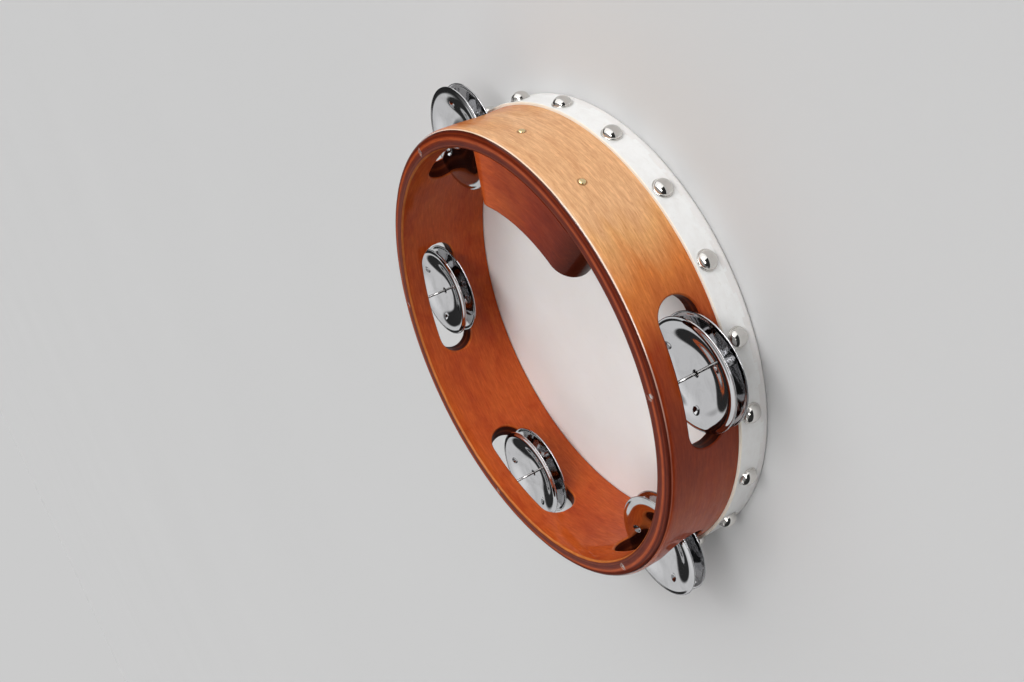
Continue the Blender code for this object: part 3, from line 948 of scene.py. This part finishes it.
def build_band(frame, hoop, material):
    """The strip that holds the film's edge, pressed in a little round each tack."""
    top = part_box("head_band")[1].z
    radius = node_radius("head_band")
    back = hoop.outer + 0.05 * MM
    bottom = 1.9 * MM
    edge = 0.3 * MM
    press_depth = 0.22 * MM
    press_reach = 3.9 * MM
    wave_depth = 0.05 * MM
    tacks = [(node_angle(name), node_middle(name).z) for name in numbered(frame, "tack_")]

    def press(r, angle, z):
        """Move a point of the strip's face inward near a tack, and a little in slack waves."""
        if r < (radius + back) / 2:
            return r, angle, z
        offsets = [(remainder(angle - tack, tau) * radius, z - height) for tack, height in tacks]
        nearest = min(hypot(*offset) for offset in offsets)
        dent = press_depth * exp(-((nearest / press_reach) ** 4))
        wave = wave_depth * sin(angle * 37.0) * sin(angle * 11.0 + 1.3)
        return r - dent + min(wave, 0.0), angle, z

    profile = arc((radius - edge, top - edge), edge, 90, 0, 4)
    profile += [(radius, z) for z in spread(top - edge, bottom + edge, 14)[1:-1]]
    profile += arc((radius - edge, bottom + edge), edge, 0, -90, 4) + [(back, bottom), (back, top)]
    obj = make_object("head_band_strip", turned_bmesh(profile, 504, press), material)
    add_grain_attribute(obj.data, radius)
    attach(obj, "drum")
    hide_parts("head_band")


def place_copy(name, mesh, matrix, body, node):
    """A copy of a mesh, set in its place, that stands for a CAD node."""
    placed = mesh.copy()
    placed.transform(matrix)
    obj = new_object(name, placed)
    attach(obj, body)
    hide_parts(node)


def drive_in(names, mesh, radius):
    """Copies of a fastener at its nodes, each with its Z pointing outward from the drum's axis."""
    for name in names:
        outward = polar(1.0, node_angle(name))
        matrix = Matrix((UP.cross(outward), UP, outward)).transposed().to_4x4()
        matrix.translation = polar(radius, node_angle(name), node_middle(name).z)
        place_copy("fine_" + name, mesh, matrix, "drum", name)


def shared_mesh(name, profile, segments, material):
    """A turned mesh that several pieces share."""
    mesh = smooth_mesh(name, turned_bmesh(profile, segments), material)
    add_local_attribute(mesh)
    return mesh


def build_tacks(frame, material):
    """Domed nickel tacks with a thin brim that meets the band."""
    names = numbered(frame, "tack_")
    head_radius = max(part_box(name)[1].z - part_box(name)[0].z for name in names) / 2
    seat = node_radius("head") - 0.12 * MM
    top = max(hypot(v.co.x, v.co.y) for v in frame["nodes"][names[0]].data.vertices) - seat
    dome_radius = head_radius - 0.32 * MM
    brim = 0.34 * MM
    brim_round = 0.13 * MM
    shank_radius = 0.6 * MM
    shank = 2.6 * MM
    tip = 0.8 * MM
    profile = [(0.0, top)]
    for angle in spread(0.0, pi / 2, 18)[1:]:
        profile.append((dome_radius * sin(angle), brim + (top - brim) * cos(angle)))
    profile += arc((head_radius - brim_round, brim - brim_round), brim_round, 90, 0, 4)
    profile += [(head_radius, 0.0), (shank_radius, 0.0), (shank_radius, -shank), (0.0, -shank - tip)]
    drive_in(names, shared_mesh("tack_dome", profile, 72, material), seat)


def build_nails(hoop, material):
    """Two small brass nails that hold the grip block."""
    head_radius = 1.1 * MM
    rise = 0.5 * MM
    lift = 0.1 * MM
    shank_radius = 0.6 * MM
    shank = 3.0 * MM
    tip = 0.6 * MM
    profile = [(0.0, rise)]
    for degrees in (70, 50, 30, 12):
        angle = radians(degrees)
        profile.append((head_radius * cos(angle), rise * sin(angle)))
    profile += [(head_radius, -lift), (shank_radius, -lift), (shank_radius, -shank), (0.0, -shank - tip)]
    drive_in(hoop.nails, shared_mesh("nail_head", profile, 48, material), hoop.outer + lift)


# ---- jingles


def disc_rise(radius, disc_radius):
    """The dome's height at a radius: flat over the hub, then an S down to the flange, whose lip curls up."""
    flange = disc_radius - DISC_FLANGE_WIDTH
    lip = disc_radius - DISC_THICKNESS / 2
    if radius > flange:
        return DISC_CURL * (1.0 - cos(pi * min((radius - flange) / (lip - flange), 1.0))) / 2
    share = max((radius - DISC_HUB_RADIUS) / (flange - DISC_HUB_RADIUS), 0.0)
    return DISC_DOME_HEIGHT * (1.0 + cos(pi * min(share, 1.0) ** DISC_FULLNESS)) / 2


def disc_height(x, y, disc_radius):
    """The disc's underside, with its three pressed dimples."""
    height = disc_rise(hypot(x, y), disc_radius)
    for k in range(DIMPLE_COUNT):
        dimple = polar(DIMPLE_CIRCLE, tau * k / DIMPLE_COUNT)
        away = hypot(x - dimple.x, y - dimple.y) / DIMPLE_RADIUS
        if away < 1.0:
            height += DIMPLE_DEPTH * (1.0 - away * away) ** 1.5
    return height


def disc_normal(x, y, disc_radius):
    """The way that the disc's upper side faces, from the heights a little to each side."""
    probe = 0.02 * MM
    rise_x = disc_height(x + probe, y, disc_radius) - disc_height(x - probe, y, disc_radius)
    rise_y = disc_height(x, y + probe, disc_radius) - disc_height(x, y - probe, disc_radius)
    return Vector((-rise_x / (2 * probe), -rise_y / (2 * probe), 1.0)).normalized()


def disc_stations():
    """Angles round a disc, closer together at the dimples."""
    angles = []
    fine = radians(8.0)
    pitch = tau / DIMPLE_COUNT
    for k in range(DIMPLE_COUNT):
        centre = pitch * k
        angles += spread(centre - fine, centre + fine, 24)[:-1]
        angles += spread(centre + fine, centre + pitch - fine, 32)[:-1]
    return angles


def disc_radii(disc_radius):
    """Radii of the disc's rings from the hole to the edge, closer together at the dimples and the fold."""
    flange = disc_radius - DISC_FLANGE_WIDTH
    reach = DIMPLE_RADIUS * 1.05
    stops = (
        (DISC_HOLE_RADIUS + DISC_HOLE_ROUND, 6),
        (DISC_HUB_RADIUS, 8),
        (DIMPLE_CIRCLE - reach, 20),
        (DIMPLE_CIRCLE + reach, 6),
        (flange - DISC_FOLD, 8),
        (flange + DISC_FOLD, 4),
        (disc_radius - DISC_THICKNESS / 2, 0),
    )
    radii = []
    for (start, steps), following in zip(stops, stops[1:]):
        radii += spread(start, following[0], steps)[:-1]
    return radii + [stops[-1][0]]


def disc_mesh(disc_radius, material):
    """One stamped disc, with a rounded edge and exact normals."""
    angles = disc_stations()
    radii = disc_radii(disc_radius)
    half = DISC_THICKNESS / 2
    bm = bmesh.new()
    normals = []
    rings = []

    def surface_ring(radius, side):
        """A ring of the upper side (1) or the underside (-1)."""
        lift = DISC_THICKNESS if side > 0 else 0.0
        ring = []
        for angle in angles:
            x, y = radius * cos(angle), radius * sin(angle)
            ring.append(bm.verts.new((x, y, disc_height(x, y, disc_radius) + lift)))
            normals.append(disc_normal(x, y, disc_radius) * side)
        rings.append(ring)

    def edge_rings(radius, lean, reach, steps):
        """A half-round edge; lean is 1 at the outer edge and -1 at the hole."""
        level = disc_height(radius, 0.0, disc_radius) + half
        for i in range(1, steps):
            angle = lean * pi * (0.5 - i / steps)
            across, up = lean * cos(angle), sin(angle)
            outward = radius + across * reach
            rings.append([bm.verts.new(polar(outward, turn, level + half * up)) for turn in angles])
            normals.extend(polar(across, turn, up) for turn in angles)

    for radius in radii:
        surface_ring(radius, 1)
    edge_rings(radii[-1], 1, half, 8)
    for radius in reversed(radii):
        surface_ring(radius, -1)
    edge_rings(radii[0], -1, DISC_HOLE_ROUND, 6)
    join_rings(bm, rings, len(angles))
    bm.normal_update()
    mesh = new_mesh("jingle_disc", bm)
    mesh.materials.append(material)
    mesh.shade_smooth()
    mesh.normals_split_custom_set_from_vertices(normals)
    add_local_attribute(mesh)
    return mesh


def pin_mesh(length, head_radius, material):
    """A thin nail: the top of its head is the origin."""
    shank_radius = 0.45 * MM
    head_length = 0.8 * MM
    edge = 0.12 * MM
    profile = [(0.0, 0.0), (head_radius - edge, 0.0), (head_radius, -edge), (head_radius, -head_length)]
    profile += [(shank_radius, -head_length - edge), (shank_radius, -length + edge), (0.0, -length)]
    return shared_mesh("jingle_nail", profile, 40, material)


def build_jingles(frame, chrome, steel):
    """Each slot's pin and its two facing discs."""
    disc = disc_mesh(node_radius("jingle_1_lower_disc"), chrome)
    low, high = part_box("jingle_1_pin")
    nail = pin_mesh(high.z - low.z, node_radius("jingle_1_pin"), steel)
    for number in jingle_numbers(frame):
        for part, turns, flip in (("lower", LOWER_TURNS, 0.0), ("upper", UPPER_TURNS, pi)):
            node = f"jingle_{number}_{part}_disc"
            low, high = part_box(node)
            centre = node_middle(node)
            flange = low.z if part == "lower" else high.z
            matrix = Matrix.Translation((centre.x, centre.y, flange)) @ Matrix.Rotation(flip, 4, "X")
            matrix = matrix @ Matrix.Rotation(turns[number - 1], 4, "Z")
            place_copy(f"fine_{node}", disc, matrix, f"{part}_disc_{number}", node)
        pin = f"jingle_{number}_pin"
        middle = node_middle(pin)
        matrix = Matrix.Translation((middle.x, middle.y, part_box(pin)[1].z))
        place_copy(f"fine_{pin}", nail, matrix, f"pin_{number}", pin)


# ---- studio


def toward(azimuth, elevation):
    """The direction at an azimuth from +X towards +Y and an elevation, both in degrees."""
    a, e = radians(azimuth), radians(elevation)
    return Vector((cos(a) * cos(e), sin(a) * cos(e), sin(e)))


def add_camera():
    """The camera, turned about its view line so that the drum stands on edge in the picture."""
    # The camera's azimuth counts from -Y towards +X.
    back = toward(CAMERA_AZIMUTH - 90.0, CAMERA_ELEVATION)
    level = UP.cross(back).normalized()
    upright = back.cross(level)
    roll = radians(CAMERA_ROLL)
    right = level * cos(roll) + upright * sin(roll)
    up = upright * cos(roll) - level * sin(roll)
    data = bpy.data.cameras.new("camera")
    data.lens = CAMERA_LENS
    data.sensor_width = CAMERA_SENSOR
    data.clip_start, data.clip_end = CAMERA_CLIP
    camera = new_object("camera", data)
    placed = Matrix((right, up, back)).transposed().to_4x4()
    placed.translation = CAMERA_AIM + back * CAMERA_DISTANCE
    camera.matrix_world = placed
    bpy.context.scene.camera = camera


def add_world():
    """Studio surroundings, by direction: soft patches and softboxes, with an even backdrop for the camera."""
    world = bpy.data.worlds.new("studio")
    bpy.context.scene.world = world
    g = Graph(world)
    g.tree.nodes.clear()
    direction = g.node("ShaderNodeTexCoord").outputs["Generated"]

    def along(axis):
        """How far each direction goes along an axis."""
        made = g.node("ShaderNodeVectorMath", operation="DOT_PRODUCT")
        g.link(direction, made.inputs[0])
        made.inputs[1].default_value = axis
        return made.outputs["Value"]

    def step(value, start, full, height=1.0):
        return g.span(value, start, full, 0.0, height, "SMOOTHSTEP")

    parts = []
    for azimuth, elevation, start, full, radiance in SOFT_PATCHES:
        parts.append(step(along(toward(azimuth, elevation)), start, full, radiance))
    for azimuth, elevation, half_width, half_height, edge, radiance in SOFTBOXES:
        centre = toward(azimuth, elevation)
        side = UP.cross(centre).normalized()
        depth = g.math("MAXIMUM", along(centre), 0.001)
        across = g.math("ABSOLUTE", g.math("DIVIDE", along(side), depth))
        upward = g.math("ABSOLUTE", g.math("DIVIDE", along(centre.cross(side)), depth))
        wide = step(across, half_width + edge, half_width)
        high = step(upward, half_height + edge, half_height, radiance)
        parts.append(g.times(wide, high))
    total = parts[0]
    for part in parts[1:]:
        total = g.math("ADD", total, part)
    surround = g.node("ShaderNodeBackground")
    g.link(total, surround.inputs["Strength"])
    plain = g.node("ShaderNodeBackground")
    plain.inputs["Color"].default_value = (BACKDROP, BACKDROP, BACKDROP, 1.0)
    mix = g.node("ShaderNodeMixShader")
    g.link(g.node("ShaderNodeLightPath").outputs["Is Camera Ray"], mix.inputs["Fac"])
    g.link(surround.outputs[0], mix.inputs[1])
    g.link(plain.outputs[0], mix.inputs[2])
    g.link(mix.outputs[0], g.node("ShaderNodeOutputWorld").inputs["Surface"])


def add_key():
    """A broad soft key from the first softbox's side."""
    data = bpy.data.lights.new("key", "SUN")
    data.energy = KEY_ENERGY
    data.angle = KEY_SPREAD
    light = new_object("key", data)
    placed = toward(*KEY_FROM).to_track_quat("Z", "Y")
    light.matrix_world = placed.to_matrix().to_4x4()


def add_floor(material):
    """A large plain floor that the head lies on."""
    bm = bmesh.new()
    bmesh.ops.create_grid(bm, x_segments=2, y_segments=2, size=FLOOR_SIZE / 2)
    floor = make_object("studio_floor", bm, material)
    floor.location.z = -FLOOR_DROP


def add_studio():
    """The world, the key light and the floor."""
    add_world()
    add_key()
    add_floor(floor_material())
    bpy.context.scene.view_settings.view_transform = "Standard"


# ---- main


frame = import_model()
add_camera()
hoop = Hoop(frame)
build_hoop(hoop, wood_material(hoop))
build_grip(hoop, wood_material(hoop, block=True))
build_head(skin_material())
build_band(frame, hoop, band_material())
build_tacks(frame, metal_material("nickel_plate"))
build_nails(hoop, metal_material("brass_nail"))
build_jingles(frame, metal_material("chrome_plate"), metal_material("drawn_steel"))
add_studio()
